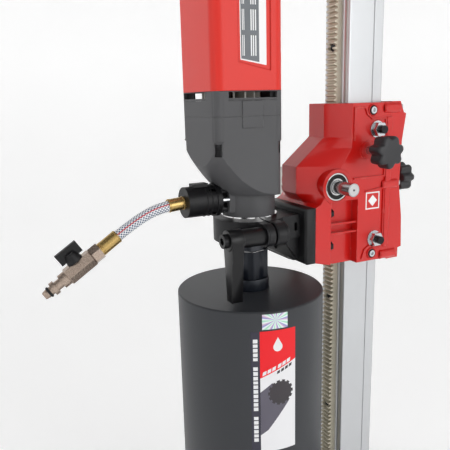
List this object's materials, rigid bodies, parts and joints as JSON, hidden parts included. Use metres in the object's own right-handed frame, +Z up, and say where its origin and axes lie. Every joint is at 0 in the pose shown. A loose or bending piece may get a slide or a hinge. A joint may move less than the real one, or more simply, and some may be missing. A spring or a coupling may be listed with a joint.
{
  "type": "core drill rig",
  "caption": "Column stand with a rack-fed carriage, a clamped water-fed drill motor, a diamond core bit and a hose with a ball valve.",
  "frame": {"origin": "on the floor, under the base plate, on the axis of the column", "axes": "+Z up along the column, -Y from the column towards the drill motor, +X towards the clamp lever and side knob"},
  "size_m": [0.2773, 0.6576, 1.008],
  "materials": {
    "cast_black": "satin black textured paint",
    "gear_grey": "dark grey textured paint",
    "motor_red": "satin red moulding",
    "carriage_red": "glossy red powder coat",
    "column_silver": "clear anodised",
    "rack_steel": "yellowish zinc plating",
    "zinc": "bright zinc plating",
    "black_screw": "black oxide",
    "base_paint": "dark grey powder coat",
    "knob_black": "moulded black",
    "pad_plastic": "white sliding plastic",
    "bearing_steel": "ground and polished",
    "shaft_steel": "ground steel",
    "crank_alloy": "raw casting",
    "bit_paint": "satin anthracite paint",
    "segment": "sintered diamond",
    "chrome_ring": "polished",
    "copper": "copper winding",
    "laminations": "stacked sheet",
    "fan_plastic": "moulded light grey",
    "seal_rubber": "moulded rubber",
    "brass": "pressed brass",
    "nickel": "warm nickel plating",
    "hose": "clear braided hose",
    "water_black": "moulded black",
    "cap_black": "moulded black",
    "carbon": "carbon"
  },
  "bodies": {
    "stand": {"base_plate": "base_paint", "levelling_screws": "zinc", "column": "column_silver", "column_cap": "cap_black", "column_foot": "base_paint", "brace_struts": "base_paint", "stand_bolts": "black_screw", "rack": "rack_steel"},
    "carriage": {"carriage_housing": "carriage_red", "carriage_rear_cover": "carriage_red", "guide_pads": "pad_plastic", "guide_set_screws": "black_screw", "guide_lock_nuts": "zinc", "carriage_bolts": "zinc", "feed_bearings": "bearing_steel", "mounting_plate": "cast_black", "plate_bolts": "black_screw", "motor_bracket": "cast_black", "clamp_nut": "black_screw", "gear_housing": "gear_grey", "gearbox_cover": "gear_grey", "motor_cover": "motor_red", "motor_end_cap": "cap_black", "cable_gland": "cap_black", "housing_screws": "black_screw", "stator": "laminations", "carbon_brushes": "carbon", "gearbox_bearings": "bearing_steel", "spindle_seals": "seal_rubber", "neck_ring": "chrome_ring", "water_connector": "water_black", "water_hose": "hose", "hose_ferrules": "brass", "hose_nut": "nickel", "valve_body": "nickel", "hose_nipple": "nickel", "nipple_seal": "seal_rubber"},
    "feed": {"feed_shaft": "shaft_steel", "feed_pinion": "shaft_steel", "crank_arm": "crank_alloy"},
    "grip": {"crank_grip": "knob_black"},
    "side_lock": {"side_knob": "knob_black", "side_knob_stud": "zinc"},
    "rear_lock": {"rear_knob": "knob_black", "rear_knob_stud": "zinc"},
    "collar_clamp": {"clamp_lever": "cast_black", "clamp_bolt": "black_screw"},
    "armature": {"armature_shaft": "shaft_steel", "armature_core": "copper", "cooling_fan": "fan_plastic"},
    "middle_gear": {"intermediate_shaft": "shaft_steel", "intermediate_gear": "shaft_steel"},
    "drill_spindle": {"spindle": "bearing_steel", "output_gear": "shaft_steel", "core_bit": "bit_paint", "bit_segments": "segment", "bit_adapter": "bit_paint"},
    "water_valve": {"valve_ball": "nickel", "valve_lever": "knob_black"},
    "switch": {"power_switch": "cap_black"}
  },
  "joints": [
    {"name": "carriage_slide", "type": "slide", "parent": "stand", "child": "carriage", "axis": [0, 0, 1], "range_m": [-0.25, 0.27]},
    {"name": "feed_spin", "type": "hinge", "parent": "carriage", "child": "feed", "pos_m": [0, -0.0575, 0.5933], "axis": [1, 0, 0], "range_deg": [-704, 652]},
    {"name": "grip_spin", "type": "hinge", "parent": "feed", "child": "grip", "pos_m": [-0.12, -0.03499, 0.47747], "axis": [1, 0, 0], "continuous": true},
    {"name": "side_lock_turn", "type": "hinge", "parent": "carriage", "child": "side_lock", "pos_m": [0.07, -0.013, 0.6356], "axis": [1, 0, 0], "range_deg": [0, 360]},
    {"name": "rear_lock_turn", "type": "hinge", "parent": "carriage", "child": "rear_lock", "pos_m": [0, 0.076, 0.59], "axis": [0, 1, 0], "range_deg": [0, 360]},
    {"name": "collar_clamp_turn", "type": "hinge", "parent": "carriage", "child": "collar_clamp", "pos_m": [0.0535, -0.19, 0.548], "axis": [0, 1, 0], "range_deg": [-110, 0]},
    {"name": "spindle_spin", "type": "hinge", "parent": "carriage", "child": "drill_spindle", "pos_m": [0, -0.1565, 0.5], "axis": [0, 0, 1], "continuous": true},
    {"name": "middle_gear_spin", "type": "hinge", "parent": "carriage", "child": "middle_gear", "pos_m": [0.01947, -0.16675, 0.64], "axis": [0, 0, 1], "continuous": true},
    {"name": "armature_spin", "type": "hinge", "parent": "carriage", "child": "armature", "pos_m": [0, -0.177, 0.77], "axis": [0, 0, 1], "continuous": true},
    {"name": "water_valve_turn", "type": "hinge", "parent": "carriage", "child": "water_valve", "pos_m": [0, -0.36533, 0.52832], "axis": [0, -0.5529, 0.8333], "range_deg": [0, 90]},
    {"name": "switch_rock", "type": "hinge", "parent": "carriage", "child": "switch", "pos_m": [0, -0.202, 0.8975], "axis": [1, 0, 0], "range_deg": [-12, 0]}
  ],
  "couplings": [
    {"joint": "feed_spin", "follows": "carriage_slide", "rad_per_m": -45.455},
    {"joint": "middle_gear_spin", "follows": "spindle_spin", "ratio": -2.6667},
    {"joint": "armature_spin", "follows": "spindle_spin", "ratio": 9.0667}
  ]
}
